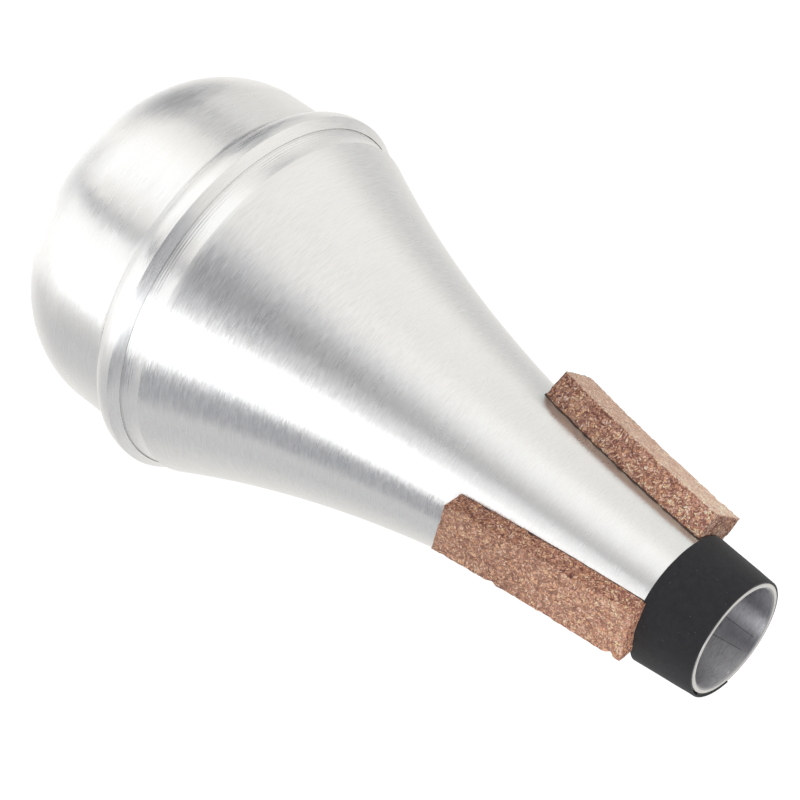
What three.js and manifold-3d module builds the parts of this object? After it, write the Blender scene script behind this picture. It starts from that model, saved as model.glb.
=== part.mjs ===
// Trumpet straight mute: a spun aluminium cone, closed by a spun cap whose skirt is rolled over
// the cone's rim, with three cork strips cemented along the cone and a black tape wrapped round
// the open neck. Millimetres, +Z along the axis towards the neck, origin at the middle of the
// flat base. Azimuths are degrees about +Z from +X.
import * as THREE from 'three';
import { mergeVertices } from 'three/addons/utils/BufferGeometryUtils.js';
import Module from 'manifold-3d';

const wasm = await Module();
wasm.setup();

// Driving dimensions: the whole mute
const overallLength = 160;

// Driving dimensions: the cone
const neckRadius = 11.9;
const coneWall = 1.2;
const rimWall = 0.9;
const shoulderDrop = 0.45;
const shoulderLength = 4.5;
const shoulderHollow = 0.15;
const flareCurveShare = 0.62;
const flarePower = 2.82;

// Driving dimensions: the cap
const capRadius = 36.65;
const capHeight = 31.4;
const capDraft = 0.1;
const capEdgeRadius = 20;
const capWall = 1;

// Driving dimensions: the rolled seam
const beadRise = 3.35;
const beadLowerLength = 5;
const beadLowerPower = 2.3;
const beadUpperLength = 2.8;
const lipDrop = 1.5;
const lipThickness = 0.35;
const seamClearance = 0.3;

// Driving dimensions: the tape round the neck
const tapeWidth = 13.2;
const tapeThickness = 0.4;
const tapeSetback = 0.4;
const tapeClearance = 0.15;
const tapeEdgeRound = 0.15;
const lapClearance = 0.12;
const lapEndAzimuth = 55;
const lapAngle = 50;
const lapRampAngle = 35;

// Driving dimensions: the cork strips and their cement
const corkLength = 41;
const corkWidth = 10.5;
const corkHeight = 4.4;
const corkEndClearance = 0.3;
const cementThickness = 0.25;
const cementClearance = 0.2;
const cementInset = 0.3;

// The strips are cut and sanded by hand, so each has its own share of the width and height
const corkAzimuths = [190, 314.5, 72];
const corkWidthShares = [0.97, 1.03, 1];
const corkHeightShares = [1.14, 0.84, 1];
const corkTaperShare = 0.07;

// Facets and sampling
const stepsAround = 64;
const flareSteps = 12;
const shoulderSteps = 3;
const edgeSteps = 9;
const beadSteps = 4;
const corkSteps = 6;
const capEdgeLimitShare = 0.9;
const rimDepthShare = 0.6;
const corkSinkShare = 0.8;
const corkSandedShare = 0.25;
const degree = Math.PI / 180;
const turn = 360;

// Heights and radii that follow
const crestHeight = capHeight + beadLowerLength;
const seamHeight = crestHeight + beadUpperLength;
const beadRadius = capRadius + beadRise;

const aluminium = { color: 0xd2d3d0, roughness: 0.32, metalness: 1 };
const corkFinish = { color: 0xa06f52, roughness: 0.9, metalness: 0 };
const tapeFinish = { color: 0x333335, roughness: 0.88, metalness: 0 };
const cementFinish = { color: 0x2a201b, roughness: 0.7, metalness: 0 };

// Outlines in the plane through the axis: x is the radius, y the height

// The outline's points, each moved square to it, towards the left of its direction of travel
function offsetOutline(outline, distanceAt) {
  return outline.map((place, index) => {
    const before = outline[Math.max(index - 1, 0)];
    const after = outline[Math.min(index + 1, outline.length - 1)];
    const travel = after.clone().sub(before).normalize();
    const left = new THREE.Vector2(-travel.y, travel.x);
    return place.clone().addScaledVector(left, distanceAt(index));
  });
}

// The bead's outside: a power curve up to the crest and a parabola down to the lip.
// share runs from -1 at the ridge through 0 at the crest to 1 at the lip.
function beadPoint(share) {
  const drop = share < 0 ? beadRise * (-share) ** beadLowerPower : lipDrop * share ** 2;
  const length = share < 0 ? beadLowerLength : beadUpperLength;
  return new THREE.Vector2(beadRadius - drop, crestHeight + length * share);
}

function beadShares(from) {
  const shares = [];
  for (let step = 0; step <= beadSteps; step += 1) shares.push(from * (1 - step / beadSteps));
  for (let step = 1; step <= beadSteps; step += 1) shares.push(step / beadSteps);
  return shares;
}

// The skirt's sheet thins from the crest to the burnished lip
function skirtThickness(share) {
  const thinning = Math.max(share, 0) ** 2;
  return capWall + (lipThickness - capWall) * thinning;
}

// The cap's outside: flat base, rounded edge, drafted wall up to the ridge
function capWallOutline() {
  const edge = Math.min(capEdgeRadius, capHeight * capEdgeLimitShare);
  const middle = capRadius - capDraft - edge;
  const outline = [new THREE.Vector2(0, 0)];
  for (let step = 0; step <= edgeSteps; step += 1) {
    const angle = (step / edgeSteps) * 90 * degree;
    outline.push(new THREE.Vector2(middle + edge * Math.sin(angle), edge - edge * Math.cos(angle)));
  }
  return outline;
}

function capProfile() {
  const shares = beadShares(-1);
  const wall = capWallOutline();
  const outside = [...wall, ...shares.map(beadPoint)];
  const inside = offsetOutline(outside, (index) => (
    index < wall.length ? capWall : skirtThickness(shares[index - wall.length])));
  inside[0].x = 0;
  return [...outside, ...inside.reverse()];
}

// The cone's rim lies inside the skirt, one clearance away from it all along
function rimOutline() {
  const shares = beadShares(-rimDepthShare);
  const distance = (index) => skirtThickness(shares[index]) + seamClearance;
  return offsetOutline(shares.map(beadPoint), distance);
}

// Where the rim leaves the skirt and where the rolled shoulder passes into the flare
const rimTop = rimOutline().at(-1);
const flareFoot = new THREE.Vector2(rimTop.x - shoulderDrop, rimTop.y + shoulderLength);

// The flare's radius: the neck's, plus a straight taper and a power curve in given shares
function flareRadius(height) {
  const share = (overallLength - height) / (overallLength - flareFoot.y);
  const growth = (1 - flareCurveShare) * share + flareCurveShare * share ** flarePower;
  return neckRadius + (flareFoot.x - neckRadius) * growth;
}

// The shoulder is hollowed from the straight line between rim and flare by a parabola
function shoulderOutline() {
  const outline = [];
  const across = flareFoot.clone().sub(rimTop).normalize();
  const outward = new THREE.Vector2(across.y, -across.x);
  for (let step = 1; step <= shoulderSteps; step += 1) {
    const share = step / (shoulderSteps + 1);
    const hollow = 4 * share * (1 - share) * shoulderHollow;
    outline.push(rimTop.clone().lerp(flareFoot, share).addScaledVector(outward, -hollow));
  }
  return outline;
}

function flareOutline() {
  const outline = [];
  for (let step = 0; step <= flareSteps; step += 1) {
    const height = THREE.MathUtils.lerp(flareFoot.y, overallLength, step / flareSteps);
    outline.push(new THREE.Vector2(flareRadius(height), height));
  }
  return outline;
}

function coneOutline() {
  return [...rimOutline(), ...shoulderOutline(), ...flareOutline()];
}

// The sheet is spun thinner where it is rolled into the rim
function coneProfile() {
  const outside = coneOutline();
  const rimCount = rimOutline().length;
  const inside = offsetOutline(outside, (index) => (index < rimCount ? rimWall : coneWall));
  inside.at(-1).set(neckRadius - coneWall, overallLength);
  return [...outside, ...inside.reverse(), outside[0].clone()];
}

// Solids

// A profile turned about the axis, which then stands along +Z
function turned(profile) {
  return new THREE.LatheGeometry(profile, stepsAround).rotateX(90 * degree);
}

function toSolid(geometry) {
  const bare = geometry.clone();
  bare.deleteAttribute('normal');
  bare.deleteAttribute('uv');
  const merged = mergeVertices(bare);
  const vertProperties = new Float32Array(merged.attributes.position.array);
  const triVerts = new Uint32Array(merged.index.array);
  return new wasm.Manifold(new wasm.Mesh({ numProp: 3, vertProperties, triVerts }));
}

function toGeometry(solid) {
  const { vertProperties, triVerts } = solid.getMesh();
  const geometry = new THREE.BufferGeometry();
  geometry.setAttribute('position', new THREE.BufferAttribute(vertProperties, 3));
  geometry.setIndex(new THREE.BufferAttribute(triVerts, 1));
  return geometry;
}

// The cone filled in to its axis, grown by a clearance: it cuts what is laid on the cone
function grownCone(clearance) {
  const outside = offsetOutline(coneOutline(), () => -clearance);
  const foot = new THREE.Vector2(0, outside[0].y);
  const top = new THREE.Vector2(0, outside.at(-1).y);
  return toSolid(turned([foot, ...outside, top]));
}

// A bar that follows the cone along one azimuth, with square ends and flat sides. It reaches
// from inside the cone to the given height over it, and is pulled in by inset all round. Its
// outer face is sanded: it stands lower towards the neck, and each point lies between the
// cone's curve and the straight line.
function layBar(azimuth, width, height, inset) {
  const near = overallLength - tapeSetback - tapeWidth - corkEndClearance - inset;
  const far = near - corkLength + inset + inset;
  const foot = [];
  for (let step = 0; step <= corkSteps; step += 1) {
    const level = THREE.MathUtils.lerp(far, near, step / corkSteps);
    foot.push(new THREE.Vector2(flareRadius(level), level));
  }
  const bent = offsetOutline(foot, (index) => (
    -height * (1 + corkTaperShare - (corkTaperShare + corkTaperShare) * (index / corkSteps))));
  const top = bent.map((place, index) => {
    const straight = bent[0].clone().lerp(bent.at(-1), index / corkSteps);
    return place.clone().lerp(straight, corkSandedShare);
  });
  const bottom = offsetOutline(foot, () => corkSinkShare * corkHeight);
  const shape = new THREE.Shape([...top, ...bottom.reverse()]);
  const depth = width - inset - inset;
  const bar = new THREE.ExtrudeGeometry(shape, { depth, bevelEnabled: false });
  bar.translate(0, 0, -depth / 2);
  bar.rotateX(90 * degree);
  bar.rotateZ(azimuth * degree);
  return toSolid(bar);
}

// Cork: the bar, scooped underneath to the cone and its cement
function corkStrip(azimuth, width, height) {
  const bedding = cementThickness + cementClearance + cementClearance;
  return toGeometry(layBar(azimuth, width, height, 0).subtract(grownCone(bedding)));
}

// Cement: the film between cone and cork, one clearance from each
function cementFilm(azimuth, width, height) {
  const bar = layBar(azimuth, width, height, cementInset);
  const film = bar.intersect(grownCone(cementClearance + cementThickness));
  return toGeometry(film.subtract(grownCone(cementClearance)));
}

// How far the tape's inner face stands off the cone at an angle along the wrap: it rides up
// a smooth ramp on to its own first turn and lies over it until its free end
function tapeStandoff(angle) {
  const lapStart = turn;
  const ramp = THREE.MathUtils.smoothstep(angle, lapStart - lapRampAngle, lapStart);
  return tapeClearance + ramp * (tapeThickness + lapClearance);
}

// The tape's section at an angle: inner edge, outer edge and two rounded corners
function tapeSection(angle) {
  const top = overallLength - tapeSetback;
  const bottom = top - tapeWidth;
  const inner = tapeStandoff(angle);
  const outer = inner + tapeThickness;
  const azimuth = (lapEndAzimuth - turn - lapAngle + angle) * degree;
  const corners = [
    [inner, bottom],
    [outer - tapeEdgeRound, bottom],
    [outer, bottom + tapeEdgeRound],
    [outer, top - tapeEdgeRound],
    [outer - tapeEdgeRound, top],
    [inner, top],
  ];
  return corners.map(([standoff, height]) => {
    const radius = flareRadius(height) + standoff;
    return [radius * Math.cos(azimuth), radius * Math.sin(azimuth), height];
  });
}

// The tape swept round the neck, closed by a flat face at each end
function tapeWrap() {
  const wrap = turn + lapAngle;
  const steps = Math.round((stepsAround * wrap) / turn);
  const places = [];
  for (let step = 0; step <= steps; step += 1) {
    places.push(...tapeSection((wrap * step) / steps).flat());
  }
  const count = tapeSection(0).length;
  const faces = [];
  for (let step = 0; step < steps; step += 1) {
    for (let corner = 0; corner < count; corner += 1) {
      const next = (corner + 1) % count;
      const a = step * count + corner;
      const b = step * count + next;
      faces.push(a, a + count, b, b, a + count, b + count);
    }
  }
  const last = steps * count;
  for (let corner = 1; corner < count - 1; corner += 1) {
    faces.push(0, corner, corner + 1);
    faces.push(last, last + corner + 1, last + corner);
  }
  const geometry = new THREE.BufferGeometry();
  geometry.setAttribute('position', new THREE.Float32BufferAttribute(places, 3));
  geometry.setIndex(faces);
  return geometry;
}

// The assembly
const mute = new THREE.Group();

function addPiece(name, geometry, finish) {
  const mesh = new THREE.Mesh(geometry, new THREE.MeshStandardMaterial(finish));
  mesh.name = name;
  mute.add(mesh);
}

addPiece('cone_body', turned(coneProfile()), aluminium);
addPiece('base_cap', turned(capProfile()), aluminium);
addPiece('neck_tape', tapeWrap(), tapeFinish);
corkAzimuths.forEach((azimuth, index) => {
  const width = corkWidth * corkWidthShares[index];
  const height = corkHeight * corkHeightShares[index];
  addPiece(`cork_strip_${index + 1}`, corkStrip(azimuth, width, height), corkFinish);
  addPiece(`cork_cement_${index + 1}`, cementFilm(azimuth, width, height), cementFinish);
});

export default mute;
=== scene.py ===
"""Looks of a trumpet straight mute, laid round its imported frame.

The spun cone and its cap, the tape round the neck, the cork strips and their cement are fine
meshes worked out from the same outlines as the frame's solids. Sizes are in millimetres and
become metres in the last step of each mesh. Azimuths are degrees about +Z from +X, and colours
are linear.
"""
from collections import namedtuple
import math
import bmesh
import bpy
import numpy as np
from mathutils import Matrix, Vector


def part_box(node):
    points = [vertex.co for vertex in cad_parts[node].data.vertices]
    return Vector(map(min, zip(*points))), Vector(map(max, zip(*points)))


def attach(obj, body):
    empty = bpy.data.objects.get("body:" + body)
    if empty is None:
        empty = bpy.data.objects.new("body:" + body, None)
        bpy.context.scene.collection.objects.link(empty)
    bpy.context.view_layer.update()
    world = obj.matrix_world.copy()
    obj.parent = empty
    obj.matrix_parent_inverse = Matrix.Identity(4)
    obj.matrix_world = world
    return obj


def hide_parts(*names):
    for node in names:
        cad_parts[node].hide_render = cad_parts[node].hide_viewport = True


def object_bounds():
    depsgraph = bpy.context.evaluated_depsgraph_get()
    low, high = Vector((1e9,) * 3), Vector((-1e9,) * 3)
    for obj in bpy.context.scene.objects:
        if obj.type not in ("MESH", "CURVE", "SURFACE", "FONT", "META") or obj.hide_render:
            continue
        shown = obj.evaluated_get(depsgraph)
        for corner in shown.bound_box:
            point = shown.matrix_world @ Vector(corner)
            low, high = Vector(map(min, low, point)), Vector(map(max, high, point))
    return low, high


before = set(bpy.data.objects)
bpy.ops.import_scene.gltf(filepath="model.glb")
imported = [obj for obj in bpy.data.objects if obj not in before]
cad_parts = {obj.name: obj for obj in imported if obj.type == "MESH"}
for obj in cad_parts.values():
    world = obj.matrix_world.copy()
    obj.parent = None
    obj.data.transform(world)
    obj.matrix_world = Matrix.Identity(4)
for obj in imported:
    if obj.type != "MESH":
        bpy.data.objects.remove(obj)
cad_low, cad_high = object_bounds()
metres = 0.001

# The rolled seam. The bead's curve is its outside, and the core's its middle, which the hidden
# sheets follow. Each has a length, a power and a drop below its crest, and others above it.
bead_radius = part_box("base_cap")[1].x / metres
seam_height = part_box("base_cap")[1].z / metres
bead_rise = 3.35
bead_curve = {"lengths": (5.85, 1.95), "powers": (2.8, 1.2), "drops": (bead_rise, 1.7)}
core_curve = {"lengths": (5.0, 2.8), "powers": (2.3, 2), "drops": (bead_rise, 1.5)}
lip_thickness = 0.35
lip_share = 0.9
lip_round = 0.1
lip_turn = 112
seam_clearance = 0.3
seam_gap = 0.1
rim_depth_share = 0.6

# The cap and the cone
overall_length = cad_high.z / metres
cap_height = seam_height - sum(core_curve["lengths"])
cap_radius = bead_radius - bead_rise
cap_draft = 0.1
cap_edge_radius = 20
cap_wall = 1
neck_radius = 11.9
cone_wall = 1.2
bore_radius = neck_radius - cone_wall
neck_edge_round = 0.14
bore_edge_round = 0.55
shoulder_drop = 0.45
shoulder_length = 4.5
shoulder_power = 3
ripple_depth = 0.022
ripple_pitch = 0.56
ripple_low = 39.1
ripple_high = 41.2
groove_depth = 0.03
groove_width = 0.11
groove_height = 39.2
flare_curve_share = 0.62
flare_power = 2.82

# The tape round the neck
tape_width = 13.5
tape_thickness = 0.42
tape_setback = 0.1
tape_edge_round = 0.16
tape_stand_off = 0.03
tape_lap_lift_share = 0.95
tape_swell = 0.035
tape_swell_cell = 2.6
tape_swell_seed = 5
tape_waver = 0.1
tape_waver_cell = 3.1
tape_waver_seed = 6
lap_end_azimuth = 55
lap_angle = 50
lap_ramp_angle = 35

# The cork strips. Near is the height of the end by the neck, lean how far the foot leads towards
# the neck, taper the share by which the strip is higher at its far end and lower at its near end.
# Sanded is how pale the outer face is, and rubbed how much lighter the strip gets towards
# the neck. Tint is its own colour over the grain's, face the gain of the outer face, and ends that
# of the end cuts, which darkens them as painted shade. Film is how strong the painted shade beside
# the foot is, a dull cool film on the metal, and ooze how far the cement reaches out. Skew is how far
# the end cut runs askew, and wedge how much thicker the strip is there on one side. A nick in the
# outer edge has its place along from the middle, its depth and its reach.
strip_fields = (
    "azimuth width length height near lean taper sanded rubbed tint face ends film ooze skew wedge nicks")
Strip = namedtuple("Strip", strip_fields, defaults=(0.0, 0.0, ()))
cork_strips = {
    "cork_strip_1": Strip(
        azimuth=190.7, width=10.7, length=41.0, height=5.0, near=146.1, lean=-0.1, taper=0.07,
        sanded=0.8, rubbed=0.54, tint=(1.0, 0.96, 0.96), face=1.16, ends=0.55, film=1.0, ooze=0.55),
    "cork_strip_2": Strip(
        azimuth=313.4, width=11.6, length=41.9, height=3.5, near=147.0, lean=0.1, taper=0.01,
        sanded=0.25, rubbed=0.42, tint=(0.93, 0.84, 0.80), face=1.08, ends=0.88, film=0.0, ooze=0.1,
        skew=0.8, wedge=0.7, nicks=((-7.7, 0.35, 0.6), (18.6, 0.6, 0.7))),
    "cork_strip_3": Strip(
        azimuth=72.0, width=10.5, length=41.0, height=4.4, near=146.1, lean=0.3, taper=0.07,
        sanded=0.4, rubbed=0.3, tint=(1.0, 0.92, 0.90), face=1.05, ends=0.7, film=0.5, ooze=0.2),
}
cork_sanded_share = 0.25
cork_bedding = 0.12
cork_edge_round = 0.12
cork_grain_cell = 0.5
cork_grain_depth = 0.035
cork_edge_rough = 0.08
cork_chip_cell = 1.7
cork_chip_limit = 0.4
cork_chip_depth = 0.5
cork_chip_reach = 0.45
cork_wave_cell = 6
nick_way = (0.7, 0, 0.7)

# The cement under each cork: how far it stops short of the foot, sinks into the cone and climbs
# over the bedding, how square its sides and ends are, and the noise by which its ooze varies
cement_inset = 0.1
cement_root = 0.03
cement_climb = 0.12
cement_side_power = 8
cement_end_power = 24
cement_skew_gain = 1.5
cement_ooze_middle = 0.75
cement_ooze_swing = 0.5
cement_ooze_cell = 1.3
cement_ooze_span = 5

# Steps of the meshes. A packing is the power by which the bead's steps get closer by its crest.
steps_around = 336
bead_steps = 41
bead_lower_packing = 1.4
bead_upper_packing = 1.5
core_steps = 25
tape_steps = 440
cork_cell = 0.33
cement_steps_along = 150
cement_steps_across = 48
floor_steps = 97
slope_step = 0.01
weld_distance = 2e-7

# The metal. The bore's scratches end at heights of their own and may drift round as they rise.
line_arc_scale = 11.0
line_density = 3.0
satin_line_colours = ((0.81, 0.81, 0.81), (0.92, 0.92, 0.92))
bore_line_colours = ((0.70, 0.695, 0.73), (0.86, 0.855, 0.89))
# Painted shade: this colour, radius, depth and share darken the seam groove beside the lip in patches
seam_shade_colour = (0.2, 0.2, 0.21)
seam_shade_radius = 38.12
seam_shade_depth = 0.7
seam_shade_share = 0.15
# Painted shade beside each cork's foot: a darker, cooler, less metallic film that greys the cork's
# reflection
foot_shade_colour = (0.68, 0.755, 0.77)
foot_shade_metallic = 0.87
foot_shade_start = 0.4
foot_shade_reach = 3.4
foot_shade_fade = 1
cut_edge_colour = (0.6, 0.59, 0.58)
# Painted shade on the top of the bore's rounded mouth edge
mouth_shade_colour = (0.42, 0.42, 0.44)
scratch_colour = (0.2, 0.2, 0.22)
scratch_share = 0.5
inward_limit = -0.2
scratch_width = 0.14
scratch_low = 150.0
Scratch = namedtuple("Scratch", "azimuth high drift")
bore_scratches = (
    Scratch(azimuth=102.0, high=159.2, drift=0.0),
    Scratch(azimuth=80.5, high=158.6, drift=0.009),
)

# The tape, the cork and the cement. A ramp's stops are a place and a colour.
tape_colours = ((0.022, 0.022, 0.0245), (0.031, 0.031, 0.0345))
lint_colour = (0.16, 0.16, 0.155)
lint_share = 0.35
lint_offset = (3.1, 0.7, 1.9)
lint_density = 1.1
granule_density = 0.62
fleck_axis = (0.5, 0.35, 0.8)
fleck_density = (1.1, 2.9, 2.9)
cork_tones = (
    (0.10, (0.130, 0.055, 0.048)),
    (0.32, (0.330, 0.160, 0.115)),
    (0.52, (0.600, 0.330, 0.225)),
    (0.72, (0.850, 0.540, 0.370)),
    (0.95, (0.960, 0.760, 0.560)),
)
cork_hues = (
    (0.00, (0.84, 0.86, 1.00)),
    (0.30, (1.00, 0.93, 1.00)),
    (0.65, (1.00, 0.98, 0.92)),
    (1.00, (1.00, 0.90, 0.74)),
)
cork_seam_colour = (0.100, 0.042, 0.042)
sanded_colours = ((0.68, 0.50, 0.38), (1.0, 0.88, 0.71))
streak_density = (1.6, 12.0, 0.0)
grain_offset = (7.3, 3.1, 0.0)
cement_colours = ((0.035, 0.024, 0.021), (0.110, 0.070, 0.055))
white = (1.0, 1.0, 1.0)

# The floor and the light tent, in metres and degrees
floor_rings = (0, 0.3, 1.0, 3.0)
floor_drop = 0.00005
floor_glow = 0.8
floor_colour = (0.3, 0.3, 0.3, 1.0)
tent_level = 0.85
tent_matt_level = 0.85
tent_shade_tint = (0.938, 0.955, 1.012)
tent_light_tint = (1.004, 0.990, 0.951)
tent_key_tint = (0.97, 0.985, 1.0)
# Each panel has its side, an azimuth from the camera's towards -X, half width and soft edge, then
# lowest and highest elevation and their blur, and brightness. Later panels lie over earlier ones.
Panel = namedtuple("Panel", "side half soft low high blur tone")
tent_panels = {
    "low_fill": Panel(0, 200, 2, -90, -26, 14, 1.1),
    "rear_low": Panel(180, 44, 34, -90, -46, 4, 1.3),
    "nadir": Panel(0, 200, 2, -90, -80, 14, 0.3),
    "rear_glow": Panel(180, 6, 46, -40, 90, 12, 1.2),
    "side_fill": Panel(82, 32, 50, -16, 90, 22, 1.0),
    "left_dim": Panel(-114, 20, 60, -56, 54, 4, 0.6),
    "right_dim": Panel(127, 19, 35, -26, 20, 10, 0.7),
    "key_box": Panel(-54, 21, 3, -90, 90, 4, 1.8),
    "key_low": Panel(-42, 27, 3, -90, 0, 14, 1.3),
    "flag_gap": Panel(-83, 13, 7, -26, 85, 6, 0.4),
    "camera_gap": Panel(-8, 20, 38, -3, 90, 8, 0.25),
    "camera_low": Panel(-14, 6, 2, -90, -26, 22, 0.35),
    "low_front": Panel(26, 20, 20, -90, -6, 6, 1.3),
    "low_gap": Panel(78, 11, 8, -54, -28, 4, 0.5),
    "deep_gap": Panel(108, 27, 35, -67, -37, 30, 0.2),
    "high_front": Panel(-18, 33, 7, 40, 90, 14, 0.5),
}

# The lamps, in metres, degrees and watts
Lamp = namedtuple("Lamp", "azimuth elevation distance size power")
lamps = {
    "key_lamp": Lamp(azimuth=-40, elevation=35, distance=1.3, size=0.9, power=3.6),
    "fill_lamp": Lamp(azimuth=-160, elevation=30, distance=1.3, size=1.1, power=3.0),
}

# The photograph's camera, in millimetres and degrees
camera_distance = 671.5
camera_elevation = 26.5
camera_azimuth = -90.0
camera_roll = 125.63
camera_target = (0.18, 0.0, 76.67)
camera_lens = 157.5
camera_sensor = 36


# Outlines: rows of (radius, height)

def lines_through(corners, steps):
    """Points along straight lines from corner to corner, evenly spaced on each line."""
    corners = np.asarray(corners, float)
    shares = np.linspace(0, 1, steps, endpoint=False)[:, None]
    runs = [a + (b - a) * shares for a, b in zip(corners[:-1], corners[1:])]
    return np.vstack([*runs, corners[-1:]])


def arc(centre, radius, start, end, steps):
    """Circle arc: centre plus radius times (cosine, sine) of angles from start to end, in degrees."""
    angles = np.radians(np.linspace(start, end, steps))
    return np.asarray(centre, float) + radius * np.stack([np.cos(angles), np.sin(angles)], 1)


def outline_normals(outline):
    """Unit directions square to the outline, to the right of its direction of travel."""
    travel = np.gradient(outline, axis=0)
    travel /= np.linalg.norm(travel, axis=1)[:, None]
    return np.stack([travel[:, 1], -travel[:, 0]], 1)


def rolled_place(share, lengths, powers, drops):
    """Outline over the seam's crest: below it and above it the height goes by the share of a length,
    and the radius falls by a power of that share."""
    far, near = np.clip(-share, 0, None), np.clip(share, 0, None)
    radius = bead_radius - (drops[0] * far ** powers[0] + drops[1] * near ** powers[1])
    height = seam_height - lengths[1] - lengths[0] * far + lengths[1] * near
    return np.stack([radius, height], 1)


def skirt_thickness(share):
    """The skirt's sheet thins from the crest to the burnished lip."""
    return cap_wall + (lip_thickness - cap_wall) * np.clip(share, 0, 1) ** 2


def flare_radius(height):
    """Neck radius plus a straight taper and a power curve, in given shares, down to the shoulder."""
    foot_radius, foot_height = flare_foot
    share = (overall_length - height) / (overall_length - foot_height)
    growth = (1 - flare_curve_share) * share + flare_curve_share * share ** flare_power
    return neck_radius + (foot_radius - neck_radius) * growth


def rim_outline(gap, steps=28):
    """The cone's rim, inside the skirt and one gap away from it all along."""
    shares = np.linspace(-rim_depth_share, 1, steps)
    middle = rolled_place(shares, **core_curve)
    return middle - outline_normals(middle) * (skirt_thickness(shares) + gap)[:, None]


rim_top = rim_outline(seam_gap)[-1]
flare_foot = rim_outline(seam_clearance)[-1] + np.array([-shoulder_drop, shoulder_length])


def shoulder_outline(steps):
    """From rim to flare the radius falls by a power of what is left of the way. A bell-shaped groove
    runs beside the lip, and then fine turned ripples: a sine in a window that fades at both ends."""
    shares = np.linspace(0, 1, steps)
    radius = flare_foot[0] + (rim_top[0] - flare_foot[0]) * (1 - shares) ** shoulder_power
    height = rim_top[1] + (flare_foot[1] - rim_top[1]) * shares
    window = np.sin(math.pi * np.clip((height - ripple_low) / (ripple_high - ripple_low), 0, 1))
    ripple = ripple_depth * window * np.sin(2 * math.pi * height / ripple_pitch)
    groove = groove_depth * np.exp(-((height - groove_height) / groove_width) ** 2)
    return np.stack([radius + ripple - groove, height], 1)


def cone_outline(rim_steps, shoulder_steps, flare_steps):
    """Outside of the cone, from the rim inside the bead over the shoulder and flare to the neck."""
    heights = np.linspace(flare_foot[1], overall_length - neck_edge_round, flare_steps)
    flare = np.stack([flare_radius(heights), heights], 1)
    return np.vstack([rim_outline(seam_gap, rim_steps), shoulder_outline(shoulder_steps)[1:-1], flare])


def cone_section():
    """Closed outline of the cone's sheet: outside, rounded neck edge, inside, and a flat rim end."""
    outside = cone_outline(rim_steps=20, shoulder_steps=110, flare_steps=76)
    inside = cone_outline(rim_steps=6, shoulder_steps=4, flare_steps=60)
    inside = inside - outline_normals(inside) * cone_wall
    top = overall_length
    inside[-1] = (bore_radius, top - bore_edge_round)
    outer_middle = (neck_radius - neck_edge_round, top - neck_edge_round)
    outer_edge = arc(outer_middle, neck_edge_round, 0, 90, steps=6)[1:]
    inner_middle = (bore_radius + bore_edge_round, top - bore_edge_round)
    inner_edge = arc(inner_middle, bore_edge_round, 90, 180, steps=12)[:-1]
    land = lines_through([outer_edge[-1], inner_edge[0]], steps=4)[1:-1]
    rim_end = lines_through([inside[0], outside[0]], steps=4)[1:-1]
    return np.vstack([outside, outer_edge, land, inner_edge, inside[::-1], rim_end])


def cap_section():
    """Outline of the cap's sheet, from the axis outside to the axis inside."""
    middle = cap_radius - cap_draft - cap_edge_radius
    base = lines_through([(0, 0), (middle, 0)], steps=14)[:-1]
    edge = arc((middle, cap_edge_radius), cap_edge_radius, -90, 0, steps=40)
    wall = lines_through([edge[-1], (cap_radius, cap_height)], steps=12)[1:-1]
    outside = np.vstack([base, edge, wall])
    inside = outside - outline_normals(outside) * cap_wall
    inside[0] = (0, cap_wall)
    below_crest = -np.linspace(1, 0, bead_steps + 1)[:-1] ** bead_lower_packing
    above_crest = lip_share * np.linspace(0, 1, bead_steps - 1) ** bead_upper_packing
    bead = rolled_place(np.concatenate([below_crest, above_crest]), **bead_curve)
    inner_shares = np.linspace(-1, 1, core_steps)
    core = rolled_place(inner_shares, **core_curve)
    inner_bead = core - outline_normals(core) * skirt_thickness(inner_shares)[:, None]
    lip_out = outline_normals(bead)[-1]
    lip_start = math.degrees(math.atan2(lip_out[1], lip_out[0]))
    lip = arc(bead[-1] - lip_out * lip_round, lip_round, lip_start, lip_turn, steps=10)[1:]
    return np.vstack([outside, bead, lip, inner_bead[::-1], inside[::-1]])


# Meshes from grids

def cell_faces(rows, columns, wrap_rows, wrap_columns):
    """Index quads of a grid: each cell's corners, row by row; a wrapped side meets its start."""
    row = np.arange(rows if wrap_rows else rows - 1)[:, None]
    column = np.arange(columns if wrap_columns else columns - 1)[None, :]
    next_row, next_column = (row + 1) % rows, (column + 1) % columns
    corners = [row * columns + column, row * columns + next_column,
               next_row * columns + next_column, next_row * columns + column]
    return np.stack(np.broadcast_arrays(*corners), -1).reshape(-1, 4)


def closed_mesh(name, grids, wrap_rows=False, wrap_columns=False, vectors=None):
    """One mesh of several grids of places in millimetres, welded where they meet. Vectors are the
    attributes it carries, each with its values."""
    places = np.vstack([grid.reshape(-1, 3) for grid in grids]) * metres
    faces, first = [], 0
    for grid in grids:
        faces.append(cell_faces(*grid.shape[:2], wrap_rows, wrap_columns) + first)
        first += grid.shape[0] * grid.shape[1]
    mesh = bpy.data.meshes.new(name)
    mesh.from_pydata(places.tolist(), [], np.vstack(faces).tolist())
    for title, values in (vectors or {}).items():
        layer = mesh.attributes.new(title, "FLOAT_VECTOR", "POINT")
        layer.data.foreach_set("vector", values.astype(np.float32).ravel())
    work = bmesh.new()
    work.from_mesh(mesh)
    bmesh.ops.remove_doubles(work, verts=work.verts, dist=weld_distance)
    bmesh.ops.dissolve_degenerate(work, edges=work.edges, dist=weld_distance)
    bmesh.ops.recalc_face_normals(work, faces=work.faces)
    work.to_mesh(mesh)
    work.free()
    mesh.polygons.foreach_set("use_smooth", np.ones(len(mesh.polygons), bool))
    return mesh


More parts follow.
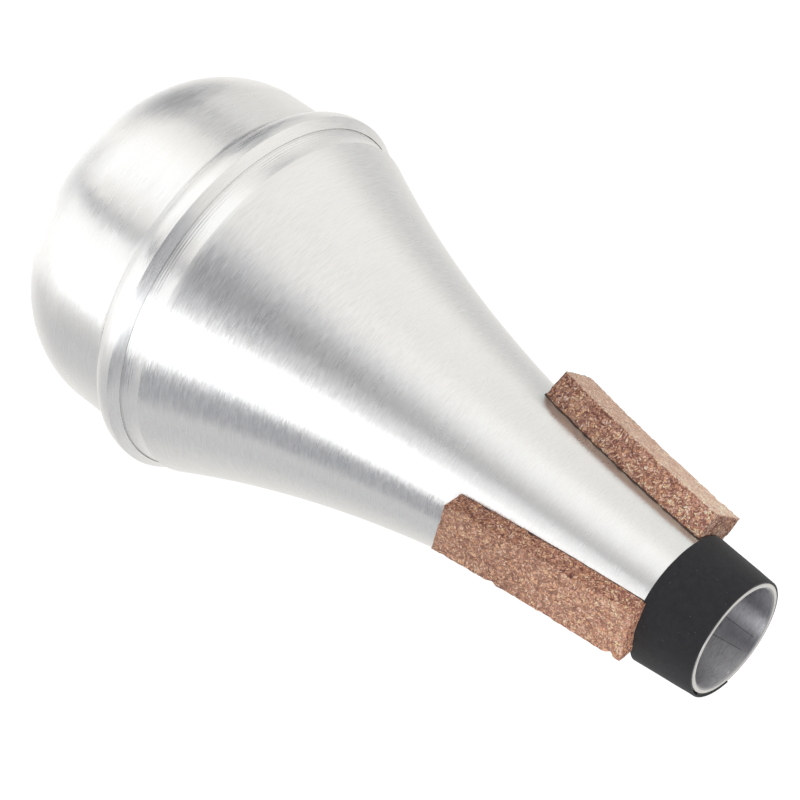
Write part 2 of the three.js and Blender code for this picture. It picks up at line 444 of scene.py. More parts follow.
def turned_mesh(name, section, wrap):
    """The section carried round +Z. The attribute holds cosine, sine and length along the section."""
    angles = np.linspace(0, 2 * math.pi, steps_around, endpoint=False)
    cosine, sine = np.cos(angles), np.sin(angles)
    radius, height = section[:, :1], section[:, 1:]
    grid = np.stack([radius * cosine, radius * sine, height + 0 * cosine], -1)
    steps = np.linalg.norm(np.diff(section, axis=0), axis=1)
    length = np.concatenate([[0], np.cumsum(steps)])[:, None]
    turning = np.stack([cosine + 0 * length, sine + 0 * length, length + 0 * cosine], -1)
    return closed_mesh(name, [grid], wrap, True, {"turning": turning})


def smooth_share(value, low, high):
    """Rises from 0 at low to 1 at high, level at both ends."""
    share = np.clip((value - low) / (high - low), 0, 1)
    return share * share * (3 - 2 * share)


def lattice_noise(places, cell, seed):
    """Smooth noise from -1 to 1: seeded values on a lattice of that cell, blended between corners."""
    scaled = places / cell
    low = np.floor(scaled.reshape(-1, 3).min(axis=0)).astype(int)
    index = np.floor(scaled).astype(int)
    share = smooth_share(scaled - index, 0, 1)
    index = index - low
    values = np.random.default_rng(seed).uniform(-1, 1, tuple(index.reshape(-1, 3).max(axis=0) + 2))
    total = 0
    for corner in np.ndindex(2, 2, 2):
        step = np.array(corner)
        weight = np.prod(np.where(step == 1, share, 1 - share), axis=-1)
        total = total + values[tuple(np.moveaxis(index + step, -1, 0))] * weight
    return total


def round_axis(radius, across, height, azimuth):
    """Places from a radius along the azimuth, a distance square to it and a height."""
    turn = np.radians(azimuth)
    x = radius * np.cos(turn) - across * np.sin(turn)
    y = radius * np.sin(turn) + across * np.cos(turn)
    return np.stack(np.broadcast_arrays(x, y, height), -1)


# The tape

def tape_mesh():
    """The tape's rounded section carried round the neck, up a ramp and over its own first turn, with
    its face swollen and its lower edge wavering by noise."""
    wrap = 360 + lap_angle
    angle = np.linspace(0, wrap, tape_steps)[:, None]
    climb = smooth_share(angle, 360 - lap_ramp_angle, 360)
    lift = tape_setback * tape_lap_lift_share * climb
    edge, thick = tape_edge_round, tape_thickness
    low = arc((thick - edge, edge), edge, -90, 0, steps=6)
    side = lines_through([(thick, edge), (thick, tape_width - edge)], steps=14)[1:-1]
    high = arc((thick - edge, tape_width - edge), edge, 0, 90, steps=6)
    section = np.vstack([[(0, 0)], low, side, high, [(0, tape_width)]])
    share = section[:, 1] / tape_width
    height = overall_length - tape_setback - tape_width + section[:, 1] + lift * share
    stand_off = tape_stand_off + climb * (thick + tape_stand_off) + section[:, 0]
    azimuth = lap_end_azimuth - wrap + angle
    grid = round_axis(flare_radius(height) + stand_off, 0, height, azimuth)
    outward = grid * (1, 1, 0) / np.linalg.norm(grid[..., :2], axis=-1)[..., None]
    swell = lattice_noise(grid, tape_swell_cell, tape_swell_seed) * (section[:, 0] > 0)
    waver = lattice_noise(grid, tape_waver_cell, tape_waver_seed) * (1 - share)
    grid = grid + outward * (swell * tape_swell)[..., None]
    grid[..., 2] += waver * tape_waver
    ends = [np.broadcast_to(row.mean(axis=0), row.shape)[None] for row in (grid[0], grid[-1])]
    return closed_mesh("tape_wrap", [np.concatenate([ends[0], grid, ends[1]])], False, True)


# The corks and their cement

def far_corner(along, across):
    """One at a strip's far corner, falling evenly to zero at the near end and at the other side."""
    return (1 - along) * (1 - across)


def flare_frame(height):
    """The flare's outline point at a height, and the direction square to it, away from the axis."""
    above, below = flare_radius(height + slope_step), flare_radius(height - slope_step)
    slope = (above - below) / (2 * slope_step)
    outward = np.stack([np.ones_like(slope), -slope], -1) / np.sqrt(1 + slope ** 2)[..., None]
    return np.stack([flare_radius(height), height], -1), outward


def block_grids(size):
    """The six faces of a block centred on zero, as grids that are closer at the edges."""
    margin = cork_edge_round * np.array([0, 0.35, 1])
    axes = []
    for length in size:
        inner = length / 2 - cork_edge_round
        middle = np.linspace(-inner, inner, max(int(2 * inner / cork_cell), 4))[1:-1]
        axes.append(np.concatenate([margin - length / 2, middle, length / 2 - margin[::-1]]))
    grids = []
    for fixed in range(3):
        first, second = [axis for axis in range(3) if axis != fixed]
        for side in (-1, 1):
            one, two = np.meshgrid(axes[first], axes[second], indexing="ij")
            grid = np.empty(one.shape + (3,))
            grid[..., first], grid[..., second] = one, two
            grid[..., fixed] = side * size[fixed] / 2
            grids.append(grid)
    return grids


def cut_cork(points, size, seed):
    """Rounds the block's edges, then roughens them and every face by noise, with a few chips."""
    half = np.asarray(size, float) / 2
    inner = np.clip(points, cork_edge_round - half, half - cork_edge_round)
    away = points - inner
    outward = away / np.linalg.norm(away, axis=-1)[..., None]
    near = np.sort(half - np.abs(points), axis=-1)[..., 1]
    edge = np.exp(-(near / cork_chip_reach) ** 2)
    fine = lattice_noise(points, cork_grain_cell, seed)
    coarse = lattice_noise(points, cork_chip_cell, seed + 1)
    wave = lattice_noise(points, cork_wave_cell, seed + 2)
    chips = np.clip(coarse - cork_chip_limit, 0, 1) * edge * cork_chip_depth
    depth = cork_grain_depth * (fine + wave) + edge * cork_edge_rough * fine - chips
    return inner + outward * (cork_edge_round + depth[..., None])


def sanded_top(level, strip):
    """The outer face lies between two shapes. One is the flare's curve, raised by a height that
    falls evenly towards the neck, and the other is that curve's straight chord."""
    near_level, taper = strip.near, strip.taper
    far_level = near_level - strip.length
    share = ((level - far_level) / strip.length)[..., None]

    def raised(height, gain):
        foot, outward = flare_frame(height)
        return foot + outward * strip.height * gain

    bent = raised(level, 1 + taper * (1 - 2 * share))
    far, near = raised(np.array(far_level), 1 + taper), raised(np.array(near_level), 1 - taper)
    return bent + (far + (near - far) * share - bent) * cork_sanded_share


def cork_mesh(name, strip, seed):
    """A cut block laid on the cone: its foot follows the flare and its top is sanded straighter. The
    attribute holds the distance across, and the shares of the length and of the height."""
    size = (strip.width, strip.length, strip.height)
    blocks = block_grids(size)
    cut = cut_cork(np.vstack([block.reshape(-1, 3) for block in blocks]), size, seed)
    ends = np.cumsum([block.size // 3 for block in blocks])
    grids, cuts = [], []
    for block, points in zip(blocks, np.split(cut, ends[:-1])):
        place = points.reshape(block.shape)
        for along, depth, reach in strip.nicks:
            away = place - (size[0] / 2, along, size[2] / 2)
            dent = depth * np.exp(-(away ** 2).sum(axis=-1) / reach ** 2)
            place = place - dent[..., None] * nick_way
        across = place[..., 0]
        shares = place / size + 0.5
        corner = far_corner(shares[..., 1], shares[..., 0])
        level = strip.near - size[1] / 2 + place[..., 1] + strip.skew * corner
        foot, outward = flare_frame(level + strip.lean + strip.skew / 2 * corner)
        radius = foot[..., 0]
        sag = radius - np.sqrt(radius ** 2 - across ** 2)
        bottom = foot + outward * (cork_bedding - sag)[..., None]
        top = sanded_top(level, strip) + outward * (strip.wedge * corner)[..., None]
        side = bottom + (top - bottom) * shares[..., 2:]
        grids.append(round_axis(side[..., 0], across, side[..., 1], strip.azimuth))
        cuts.append(np.stack([across, shares[..., 1], shares[..., 2]], -1).reshape(-1, 3))
    return closed_mesh(name, grids, vectors={"cut": np.vstack(cuts)})


def cement_mesh(name, strip, seed):
    """A film that fills the bedding under a cork and tapers to nothing just outside its foot, where
    noise makes it reach farther here and less there. Each corner point lies on its neighbour, so
    that no face there is folded flat."""
    along = np.linspace(-1, 1, cement_steps_along)[:, None]
    across = np.linspace(-1, 1, cement_steps_across)[None, :]
    length, width = strip.length, strip.width
    ground = (along * length / 2, across * cement_ooze_span, seed + 0 * along)
    noise = lattice_noise(np.stack(np.broadcast_arrays(*ground), -1), cement_ooze_cell, seed)
    ooze = strip.ooze * (cement_ooze_middle + cement_ooze_swing * noise)
    half_width = width / 2 - cement_inset + ooze
    half_length = length / 2 - cement_inset + ooze
    corner = far_corner((along + 1) / 2, (across + 1) / 2)
    level = strip.near - length / 2 + strip.lean + along * half_length
    level = level + strip.skew * cement_skew_gain * corner
    distance = across * half_width
    foot, outward = flare_frame(level)
    turn = np.degrees(np.arcsin(distance / foot[..., 0]))
    rise = np.clip(1 - across ** cement_side_power, 0, 1) * np.clip(1 - along ** cement_end_power, 0, 1)
    layers = []
    for thickness in (-cement_root * rise, (cork_bedding + cement_climb) * rise):
        place = foot + outward * thickness[..., None]
        layer = round_axis(place[..., 0], 0, place[..., 1], strip.azimuth + turn)
        layer[[0, 0, -1, -1], [0, -1, 0, -1]] = layer[[0, 0, -1, -1], [1, -2, 1, -2]]
        layers.append(layer)
    return closed_mesh(name, layers)


# Node graphs

class Graph:
    """Adds nodes to a tree: a value that is a socket is linked, and any other is set."""

    def __init__(self, tree):
        self.tree = tree

    def fill(self, node, values):
        """Gives the node's inputs their values, by title or number."""
        for title, value in values.items():
            if isinstance(value, bpy.types.NodeSocket):
                self.tree.links.new(value, node.inputs[title])
            else:
                node.inputs[title].default_value = value

    def node(self, kind, values=None, **settings):
        """A new node of that kind, with its inputs and its settings."""
        made = self.tree.nodes.new(kind)
        for title, setting in settings.items():
            setattr(made, title, setting)
        self.fill(made, values or {})
        return made

    def math(self, operation, *values, clamp=False):
        """What a Math node makes of the values."""
        values = dict(enumerate(values))
        return self.node("ShaderNodeMath", values, operation=operation, use_clamp=clamp).outputs[0]

    def product(self, value, *factors):
        """The value times each factor in turn."""
        for factor in factors:
            value = self.math("MULTIPLY", value, factor)
        return value

    def blend(self, share, first, second):
        """The first value, moved by that share of the way to the second."""
        return self.math("MULTIPLY_ADD", share, self.math("SUBTRACT", second, first), first)

    def vector(self, operation, *values):
        """What a Vector Math node makes of the values: a vector, a length or a dot product."""
        titles = (0, "Scale") if operation == "SCALE" else range(len(values))
        made = self.node("ShaderNodeVectorMath", dict(zip(titles, values)), operation=operation)
        return made.outputs[1 if operation in ("LENGTH", "DOT_PRODUCT") else 0]

    def parts(self, vector):
        return self.node("ShaderNodeSeparateXYZ", {0: vector}).outputs

    def joined(self, x, y, z):
        return self.node("ShaderNodeCombineXYZ", {0: x, 1: y, 2: z}).outputs[0]

    def place(self):
        """The place on the mute in millimetres."""
        return self.vector("SCALE", self.node("ShaderNodeTexCoord").outputs["Object"], 1 / metres)

    def attribute(self, title):
        return self.node("ShaderNodeAttribute", attribute_name=title).outputs["Vector"]

    def spread(self, value, low, high, start=0.0, end=1.0, kind="LINEAR"):
        """Maps low..high to start..end and holds it there outside."""
        values = {"Value": value, "From Min": low, "From Max": high, "To Min": start, "To Max": end}
        return self.node("ShaderNodeMapRange", values, interpolation_type=kind).outputs["Result"]

    def step_up(self, value, middle, width, start=0.0, end=1.0):
        """A smooth step of that width about a middle."""
        return self.spread(value, middle - width / 2, middle + width / 2, start, end, "SMOOTHSTEP")

    def step_down(self, value, middle, width):
        """The same step, falling."""
        return self.step_up(value, middle, width, 1.0, 0.0)

    def noise(self, vector, scale, detail, roughness=0.5):
        """Outputs of a Noise texture: first its value, then its colour."""
        values = {"Vector": vector, "Scale": scale, "Detail": detail, "Roughness": roughness}
        return self.node("ShaderNodeTexNoise", values).outputs

    def cells(self, vector, scale, feature="F1"):
        values = {"Vector": vector, "Scale": scale}
        return self.node("ShaderNodeTexVoronoi", values, feature=feature).outputs

    def bump(self, height, strength, distance):
        """The normal leant by a height, whose distance is in metres."""
        values = {"Height": height, "Strength": strength, "Distance": distance}
        return self.node("ShaderNodeBump", values).outputs[0]

    def mix(self, share, first, second, blend="MIX"):
        """Blends two colours: each is a socket, or red, green and blue."""
        values = {0: share}
        for socket, colour in ((6, first), (7, second)):
            values[socket] = (*colour, 1.0) if isinstance(colour, tuple) else colour
        return self.node("ShaderNodeMix", values, data_type="RGBA", blend_type=blend).outputs[2]

    def ramp(self, value, stops):
        """Colours along a value: each stop is a place and a colour."""
        made = self.node("ShaderNodeValToRGB", {"Fac": value})
        elements = made.color_ramp.elements
        while len(elements) < len(stops):
            elements.new(1.0)
        for element, (place, colour) in zip(elements, stops):
            element.position = place
            element.color = (*colour, 1.0)
        return made.outputs["Color"]


def node_group(name, inputs, outputs):
    """A shader group with those sockets, each a Float, Color or Vector, and nothing in it. Returns
    the group, its graph, its inputs and its output node."""
    group = bpy.data.node_groups.new(name, "ShaderNodeTree")
    for way, sockets in (("INPUT", inputs), ("OUTPUT", outputs)):
        for title, kind in sockets.items():
            group.interface.new_socket(title, in_out=way, socket_type=f"NodeSocket{kind}")
    graph = Graph(group)
    entry = graph.node("NodeGroupInput")
    return group, graph, entry.outputs, graph.node("NodeGroupOutput")


def empty_graph(owner):
    """The emptied node graph of a material or a world."""
    owner.use_nodes = True
    owner.node_tree.nodes.clear()
    return Graph(owner.node_tree)


def material(name):
    """A new material with its graph and its Principled shader, linked to the output."""
    made = bpy.data.materials.new(name)
    graph = empty_graph(made)
    shader = graph.node("ShaderNodeBsdfPrincipled")
    graph.node("ShaderNodeOutputMaterial", {"Surface": shader.outputs[0]})
    return made, graph, shader


# Finishes

def spinning_lines_group():
    """Short fine lines left by spinning and sanding: noise drawn out round the axis and close along
    the section. Lines is their tone, Sweep broad turned bands. Normal leans each line a little, by
    Lean round the axis and by Groove along the section."""
    group, graph, entry, end = node_group(
        "spinning_lines",
        {"Turning": "Vector", "Arc": "Float", "Density": "Float", "Lean": "Float", "Groove": "Float"},
        {"Lines": "Float", "Sweep": "Float", "Normal": "Vector"})
    parts = graph.parts(entry["Turning"])

    def drawn_out_noise(arc, density, offset, detail, roughness):
        """Noise of the turning vector, stretched round the axis and packed along the section."""
        round_scale = graph.product(entry["Arc"], arc)
        along_scale = graph.product(entry["Density"], density)
        x = graph.math("MULTIPLY_ADD", parts[0], round_scale, offset)
        y = graph.product(parts[1], round_scale)
        z = graph.product(parts[2], along_scale)
        return graph.noise(graph.joined(x, y, z), 1.0, detail, roughness)[0]

    def leant(normal, direction, share, amount):
        """The normal, moved along the direction by what the share is over or under a half."""
        step = graph.product(graph.math("SUBTRACT", share, 0.5), amount)
        return graph.vector("ADD", normal, graph.vector("SCALE", direction, step))

    lines = drawn_out_noise(arc=1.0, density=1.3, offset=0.0, detail=2.0, roughness=0.6)
    sweep = drawn_out_noise(arc=0.2, density=0.1, offset=7.0, detail=2.0, roughness=0.5)
    lean = drawn_out_noise(arc=1.3, density=1.7, offset=13.0, detail=1.0, roughness=0.5)
    groove = drawn_out_noise(arc=0.5, density=1.6, offset=29.0, detail=2.0, roughness=0.6)
    normal = graph.node("ShaderNodeNewGeometry").outputs["Normal"]
    round_axis_way = graph.joined(graph.product(parts[1], -1.0), parts[0], 0.0)
    section_way = graph.vector("CROSS_PRODUCT", normal, round_axis_way)
    lined = leant(normal, round_axis_way, lean, entry["Lean"])
    lined = graph.vector("NORMALIZE", leant(lined, section_way, groove, entry["Groove"]))
    graph.fill(end, {"Lines": lines, "Sweep": sweep, "Normal": lined})
    return group


def aside_and_facing(graph, place, azimuth):
    """How far a place lies square to an azimuth, and how far along it."""
    turn = math.radians(azimuth)
    aside = graph.vector("DOT_PRODUCT", place, (-math.sin(turn), math.cos(turn), 0.0))
    return aside, graph.vector("DOT_PRODUCT", place, (math.cos(turn), math.sin(turn), 0.0))


def bore_scratch(graph, outward, height, scratch):
    """Mask of one thin scratch up the bore: close to its azimuth, which drifts with the height, on
    that side of the axis and between its two heights."""
    aside, facing = aside_and_facing(graph, outward, scratch.azimuth)
    rise = graph.math("SUBTRACT", height, scratch_low)
    aside = graph.math("MULTIPLY_ADD", rise, -scratch.drift, aside)
    width = scratch_width / bore_radius
    return graph.product(
        graph.spread(graph.math("ABSOLUTE", aside), width / 2, width, 1.0, 0.0),
        graph.spread(facing, 0.0, 0.1),
        graph.spread(rise, 0.0, 1.0),
        graph.spread(height, scratch.high - 0.5, scratch.high, 1.0, 0.0))


def lined_metal(name, lines_group, line_colours, lean, groove, anisotropy):
    """Aluminium whose highlights are drawn out along the axis by lines that run round it. Returns
    the material, its graph, its shader, its lines, its line colour and the place on it."""
    made, graph, shader = material(name)
    lines = graph.node("ShaderNodeGroup", node_tree=lines_group)
    graph.fill(lines, {
        "Turning": graph.attribute("turning"), "Arc": line_arc_scale, "Density": line_density,
        "Lean": lean, "Groove": groove})
    tangent = graph.node("ShaderNodeTangent", direction_type="RADIAL", axis="Z").outputs[0]
    graph.fill(shader, {
        "Metallic": 1.0, "Anisotropic": anisotropy, "Anisotropic Rotation": 0.25,
        "Tangent": tangent, "Normal": lines.outputs["Normal"]})
    colour = graph.mix(graph.spread(lines.outputs["Lines"], 0.3, 0.7), *line_colours)
    return made, graph, shader, lines.outputs, colour, graph.place()


def painted_foot_shade(graph, place, height):
    """Mask of painted shade beside the corks' feet, a dull cool film of colour, fading away from them."""
    total = 0.0
    for strip in cork_strips.values():
        aside, facing = aside_and_facing(graph, place, strip.azimuth)
        foot = strip.width / 2
        far, near = strip.near - strip.length, strip.near
        mask = graph.product(
            graph.spread(graph.math("ABSOLUTE", aside), foot + foot_shade_start, foot + foot_shade_reach, 1.0, 0.0),
            graph.spread(facing, 2.0, 3.0),
            graph.spread(height, far - foot_shade_fade, far),
            graph.spread(height, near, near + foot_shade_fade, 1.0, 0.0),
            strip.film)
        total = graph.math("MAXIMUM", total, mask)
    return total


def spun_aluminium(lines_group):
    """Satin aluminium outside. Painted shade darkens the seam beside the lip, painted shade as a dull
    cool film darkens the metal beside the corks' feet, and the cut neck edge is dull."""
    made, graph, shader, lines, colour, place = lined_metal(
        "satin_aluminium", lines_group, satin_line_colours, lean=0.09, groove=0.06, anisotropy=0.85)
    height = graph.parts(place)[2]
    radius = graph.vector("LENGTH", graph.vector("MULTIPLY", place, (1.0, 1.0, 0.0)))
    patches = graph.noise(place, 0.08, 2.0)[0]
    # Painted shade in the seam groove beside the lip, in patches
    seam_shade = graph.product(
        graph.spread(height, groove_height, groove_height + 0.15, 1.0, 0.0),
        graph.spread(height, groove_height - seam_shade_depth - 0.1, groove_height - seam_shade_depth),
        graph.spread(radius, seam_shade_radius, seam_shade_radius + 0.08, 1.0, 0.0),
        graph.spread(patches, 0.4, 0.62, 0.0, seam_shade_share))
    colour = graph.mix(seam_shade, colour, seam_shade_colour)
    # Painted shade beside the corks' feet: darker, cooler and less metallic
    film = painted_foot_shade(graph, place, height)
    colour = graph.mix(film, colour, foot_shade_colour)
    cut_edge = graph.spread(height, overall_length - 0.12, overall_length - 0.02)
    colour = graph.mix(cut_edge, colour, cut_edge_colour)
    rough = graph.spread(lines["Sweep"], 0.3, 0.7, -0.02, 0.02)
    rough = graph.math("ADD", rough, graph.spread(lines["Lines"], 0.42, 0.74, 0.28, 0.43))
    metallic = graph.spread(film, 0.0, 1.0, 1.0, foot_shade_metallic)
    graph.fill(shader, {"Base Color": colour, "Metallic": metallic, "Roughness": rough})
    return made


def bore_aluminium(lines_group):
    """The inside: duller and greyer, with close turned grooves, a few scratches and painted shade on the
    mouth's rounded edge.
    """
    made, graph, shader, lines, colour, place = lined_metal(
        "bore_aluminium", lines_group, bore_line_colours, lean=0.06, groove=0.6, anisotropy=1.0)
    height = graph.parts(place)[2]
    outward = graph.vector("NORMALIZE", graph.vector("MULTIPLY", place, (1.0, 1.0, 0.0)))
    for scratch in bore_scratches:
        mark = bore_scratch(graph, outward, height, scratch)
        colour = graph.mix(graph.product(mark, scratch_share), colour, scratch_colour)
    # Painted shade: the top of the mouth's rounded edge darkened
    mouth = overall_length - bore_edge_round
    colour = graph.mix(graph.spread(height, mouth, mouth + 0.15), colour, mouth_shade_colour)
    rough = graph.spread(lines["Lines"], 0.25, 0.75, 0.34, 0.40)
    graph.fill(shader, {"Base Color": colour, "Roughness": rough})
    return made


def line_bore(mesh, finish):
    """Gives the faces that look towards the axis a second finish."""
    count = len(mesh.polygons)
    centre, normal = np.empty(count * 3), np.empty(count * 3)
    mesh.polygons.foreach_get("center", centre)
    mesh.polygons.foreach_get("normal", normal)
    centre, normal = centre.reshape(-1, 3)[:, :2], normal.reshape(-1, 3)[:, :2]
    facing = (centre * normal).sum(axis=1) / np.linalg.norm(centre, axis=1)
    mesh.materials.append(finish)
    mesh.polygons.foreach_set("material_index", (facing < inward_limit).astype(np.int32))


def tape_finish():
    """Black cloth-backed tape: fine fibres, soft mottling, and specks of dust and lint."""
    made, graph, shader = material("black_tape")
    place = graph.place()
    mottle = graph.noise(place, 0.9, 4.0, 0.6)[0]
    fibre = graph.noise(place, 7.0, 3.0, 0.6)[0]
    lint = graph.cells(graph.vector("ADD", place, lint_offset), lint_density)
    speck = graph.product(
        graph.spread(lint["Distance"], 0.10, 0.16, 1.0, 0.0),
        graph.spread(graph.parts(lint["Color"])[0], 0.82, 0.86),
        lint_share)
    colour = graph.mix(graph.spread(mottle, 0.3, 0.7), *tape_colours)
    colour = graph.mix(speck, colour, lint_colour)
    height = graph.math("ADD", graph.product(fibre, 0.7), mottle)
    graph.fill(shader, {
        "Base Color": colour, "Roughness": graph.spread(fibre, 0.3, 0.7, 0.8, 0.95),
        "Specular IOR Level": 0.35, "Sheen Weight": 0.12, "Sheen Roughness": 0.5,
        "Normal": graph.bump(height, strength=0.35, distance=0.00006)})
    return made


def cork_grain_group():
    """Agglomerated cork in millimetres: warped cells are the granules, and each is packed with small
    long flecks that lie its own way, pale in the middle and dark at their edges."""
    group, graph, entry, end = node_group(
        "cork_grain",
        {"Place": "Vector", "Cut": "Vector", "Pale": "Float"},
        {"Color": "Color", "Height": "Float", "Rough": "Float"})
    warp = graph.vector("SUBTRACT", graph.noise(entry["Place"], 1.1, 2.0)[1], (0.5, 0.5, 0.5))
    place = graph.vector("ADD", entry["Place"], graph.vector("SCALE", warp, 0.9))
    picks = graph.parts(graph.cells(place, granule_density)["Color"])
    gap = graph.cells(place, granule_density, "DISTANCE_TO_EDGE")["Distance"]
    turn = graph.product(picks[0], 6.28)
    turned = graph.node("ShaderNodeVectorRotate", {"Vector": place, "Angle": turn, "Axis": fleck_axis})
    stretched = graph.vector("MULTIPLY", turned.outputs[0], fleck_density)
    fleck_picks = graph.parts(graph.cells(stretched, 1.0)["Color"])
    fleck_edge = graph.cells(stretched, 1.0, "DISTANCE_TO_EDGE")["Distance"]
    crumb = graph.noise(entry["Place"], 5.0, 2.0, 0.6)[0]
    tone = graph.math("MULTIPLY_ADD", picks[1], 0.14, graph.product(fleck_picks[0], 0.7))
    tone = graph.math("MULTIPLY_ADD", crumb, 0.3, tone)
    hue = graph.ramp(fleck_picks[1], cork_hues)
    colour = graph.mix(1.0, graph.ramp(tone, cork_tones), hue, "MULTIPLY")
    sound = graph.product(graph.spread(fleck_edge, 0.0, 0.16), graph.spread(gap, 0.0, 0.07, 0.35, 1.0))
    colour = graph.mix(sound, graph.mix(0.3, cork_seam_colour, colour), colour)
    streak = graph.noise(graph.vector("MULTIPLY", entry["Cut"], streak_density), 1.0, 4.0, 0.65)[0]
    sanded = graph.mix(graph.spread(streak, 0.42, 0.58), *sanded_colours)
    colour = graph.mix(entry["Pale"], colour, graph.mix(0.55, sanded, colour))
    height = graph.math("MULTIPLY_ADD", fleck_picks[0], 0.5, sound)
    graph.fill(end, {"Color": colour, "Height": height, "Rough": graph.spread(sound, 0.0, 1.0, 0.95, 0.75)})
    return group


def cork_finish(grain_group, name, strip, offset):
    """Cut cork, with its grain started at its own place in each strip. The outer face is sanded
    pale, the strip gets lighter towards the neck, the outer face has a brightness of its own, and
    the cut ends are darkened as painted shade."""
    made, graph, shader = material(name)
    cut = graph.attribute("cut")
    shares = graph.parts(cut)
    outer = graph.spread(shares[2], 0.95, 0.99)
    grain = graph.node("ShaderNodeGroup", node_tree=grain_group)
    graph.fill(grain, {
        "Place": graph.vector("ADD", graph.place(), offset), "Cut": cut,
        "Pale": graph.product(outer, strip.sanded)})
    from_middle = graph.math("ABSOLUTE", graph.math("SUBTRACT", shares[1], 0.5))
    gain = graph.product(
        # Lighter towards the neck, by a power of the share along the strip
        graph.math("MULTIPLY_ADD", graph.math("POWER", shares[1], 1.5), strip.rubbed, 1.0),
        # Painted shade: the cut ends darkened by each strip's end gain
        graph.spread(from_middle, 0.492, 0.498, 1.0, strip.ends),
        graph.spread(outer, 0.0, 1.0, 1.0, strip.face))
    tint = graph.vector("SCALE", strip.tint, gain)
    colour = graph.vector("MINIMUM", graph.vector("MULTIPLY", grain.outputs["Color"], tint), white)
    graph.fill(shader, {
        "Base Color": colour, "Roughness": grain.outputs["Rough"], "Specular IOR Level": 0.3,
        "Normal": graph.bump(grain.outputs["Height"], strength=0.5, distance=0.0001)})
    return made


def cement_finish():
    """Dried contact cement: dark brown, a little glossy, thicker here and thinner there."""
    made, graph, shader = material("dried_cement")
    cloud = graph.noise(graph.place(), 1.6, 4.0, 0.6)[0]
    graph.fill(shader, {
        "Base Color": graph.mix(graph.spread(cloud, 0.35, 0.7), *cement_colours),
        "Roughness": graph.spread(cloud, 0.3, 0.7, 0.45, 0.7),
        "Normal": graph.bump(cloud, strength=0.5, distance=0.00008)})
    return made


# The stage: floor, light tent, lamps and camera

def make_floor():
    """A round pale floor, lit by the lamps, with a glow of its own that the camera sees. Reflections
    don't show it, and from below it is clear."""
    angles = np.linspace(0, 2 * math.pi, floor_steps)[:, None]
    rings = np.array(floor_rings)[None, :] / metres
    grid = round_axis(rings, 0, -floor_drop / metres + 0 * angles, np.degrees(angles))
    floor = bpy.data.objects.new("floor", closed_mesh("floor", [grid]))
    if floor.data.polygons[0].normal.z < 0:
        floor.data.flip_normals()
    bpy.context.scene.collection.objects.link(floor)
    made = bpy.data.materials.new("pale_floor")
    graph = empty_graph(made)
    ray = graph.node("ShaderNodeLightPath").outputs
    seen = graph.math("ADD", graph.math("ADD", ray["Is Camera Ray"], ray["Is Glossy Ray"]),
                      ray["Is Transmission Ray"], clamp=True)
    strength = graph.product(seen, floor_glow)
    glow = graph.node("ShaderNodeEmission", {"Color": (*white, 1.0), "Strength": strength})
    lit = graph.node("ShaderNodeBsdfDiffuse", {"Color": floor_colour})
    both = graph.node("ShaderNodeAddShader", {0: glow.outputs[0], 1: lit.outputs[0]})
    below = graph.node("ShaderNodeNewGeometry").outputs["Backfacing"]
    clear = graph.node("ShaderNodeBsdfTransparent")
    mixed = graph.node("ShaderNodeMixShader", {0: below, 1: both.outputs[0], 2: clear.outputs[0]})
    graph.node("ShaderNodeOutputMaterial", {"Surface": mixed.outputs[0]})
    floor.data.materials.append(made)
    floor.visible_glossy = False


def make_tent():
    """The world: white to the camera, a plain level to matt surfaces, and to glossy ones a light
    tent of soft panels, each a smooth window in azimuth and elevation. Its dim parts are a little
    blue, its light parts a little warm, and its brightest a little blue again."""
    world = bpy.data.worlds.new("light_tent")
    bpy.context.scene.world = world
    world.cycles.sampling_method = "NONE"
    graph = empty_graph(world)
    parts = graph.parts(graph.node("ShaderNodeTexCoord").outputs["Generated"])
    bearing = graph.math("DEGREES", graph.math("ARCTAN2", parts[1], parts[0]))
    azimuth = graph.math("SUBTRACT", camera_azimuth, bearing)
    elevation = graph.math("DEGREES", graph.math("ARCSINE", parts[2]))
    tone = tent_level
    for panel in tent_panels.values():
        aside = graph.math("WRAP", graph.math("SUBTRACT", azimuth, panel.side), -180.0, 180.0)
        window = graph.product(
            graph.step_down(graph.math("ABSOLUTE", aside), panel.half, panel.soft),
            graph.step_up(elevation, panel.low, panel.blur),
            graph.step_down(elevation, panel.high, panel.blur))
        tone = graph.blend(window, tone, panel.tone)
    ray = graph.node("ShaderNodeLightPath").outputs
    glossy = graph.math("ADD", ray["Is Glossy Ray"], ray["Is Transmission Ray"], clamp=True)
    level = graph.blend(glossy, tent_matt_level, tone)
    level = graph.blend(ray["Is Camera Ray"], level, 1.0)
    tint = graph.mix(graph.spread(tone, 0.38, 0.85), tent_shade_tint, tent_light_tint)
    tint = graph.mix(graph.spread(tone, 1.1, 1.5), tint, tent_key_tint)
    tint = graph.mix(glossy, white, tint)
    shine = graph.node("ShaderNodeBackground", {"Color": tint, "Strength": level})
    graph.node("ShaderNodeOutputWorld", {"Surface": shine.outputs[0]})


def look_at(target, azimuth, elevation, distance, roll=0.0):
    """The pose of a camera or lamp that many metres from the target, looking at it."""
    bearing, rise = math.radians(azimuth), math.radians(elevation)
    level = math.cos(rise)
    back = Vector((math.cos(bearing) * level, math.sin(bearing) * level, math.sin(rise)))
    turn = back.to_track_quat("Z", "Y").to_matrix().to_4x4()
    rolled = turn @ Matrix.Rotation(math.radians(roll), 4, "Z")
    return Matrix.Translation(Vector(target) + back * distance) @ rolled


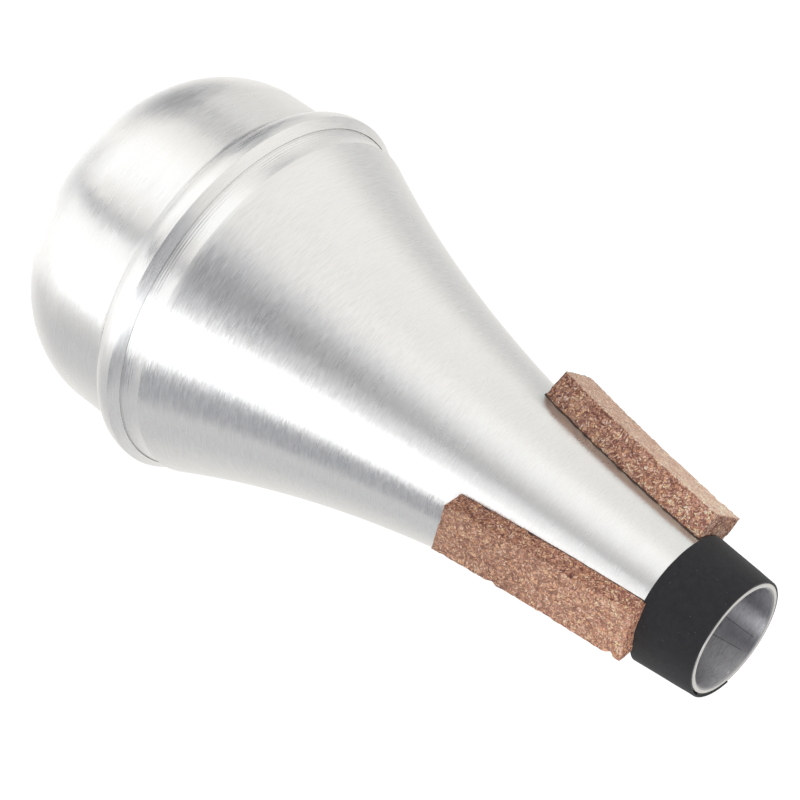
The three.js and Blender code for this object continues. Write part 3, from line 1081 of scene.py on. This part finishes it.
def make_lamps():
    """Round area lamps that neither the camera nor the metal's reflections show."""
    for title, lamp in lamps.items():
        light = bpy.data.lights.new(title, "AREA")
        light.shape = "DISK"
        light.size = lamp.size
        light.energy = lamp.power
        made = bpy.data.objects.new(title, light)
        centre = (0, 0, overall_length * metres / 2)
        made.matrix_world = look_at(centre, lamp.azimuth, lamp.elevation, lamp.distance)
        made.visible_glossy = False
        made.visible_camera = False
        bpy.context.scene.collection.objects.link(made)


def make_camera():
    """The photograph's camera, rolled as the photograph is."""
    camera = bpy.data.cameras.new("camera")
    camera.lens = camera_lens
    camera.sensor_width = camera_sensor
    camera.clip_start = 0.01
    camera.clip_end = 20
    made = bpy.data.objects.new("camera", camera)
    target, distance = Vector(camera_target) * metres, camera_distance * metres
    made.matrix_world = look_at(target, camera_azimuth, camera_elevation, distance, camera_roll)
    bpy.context.scene.collection.objects.link(made)
    bpy.context.scene.camera = made


# The assembly

def dress(mesh, finish, node):
    """Puts a finished mesh on the mute in place of its node."""
    piece = bpy.data.objects.new(mesh.name, mesh)
    bpy.context.scene.collection.objects.link(piece)
    mesh.materials.append(finish)
    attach(piece, "root")
    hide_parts(node)
    return piece


lines_group = spinning_lines_group()
grain_group = cork_grain_group()
spun_metal = spun_aluminium(lines_group)
cone = dress(turned_mesh("cone_shell", cone_section(), True), spun_metal, "cone_body")
line_bore(cone.data, bore_aluminium(lines_group))
dress(turned_mesh("cap_shell", cap_section(), False), spun_metal, "base_cap")
dress(tape_mesh(), tape_finish(), "neck_tape")
cement = cement_finish()
for number, (node, strip) in enumerate(cork_strips.items(), 1):
    offset = tuple(number * shift for shift in grain_offset)
    cork = cork_finish(grain_group, f"cut_cork_{number}", strip, offset)
    dress(cork_mesh(f"cork_{number}", strip, seed=10 * number), cork, node)
    film = cement_mesh(f"cement_{number}", strip, seed=40 + number)
    dress(film, cement, f"cork_cement_{number}")

make_floor()
make_tent()
make_lamps()
make_camera()
bpy.context.scene.view_settings.view_transform = "Standard"
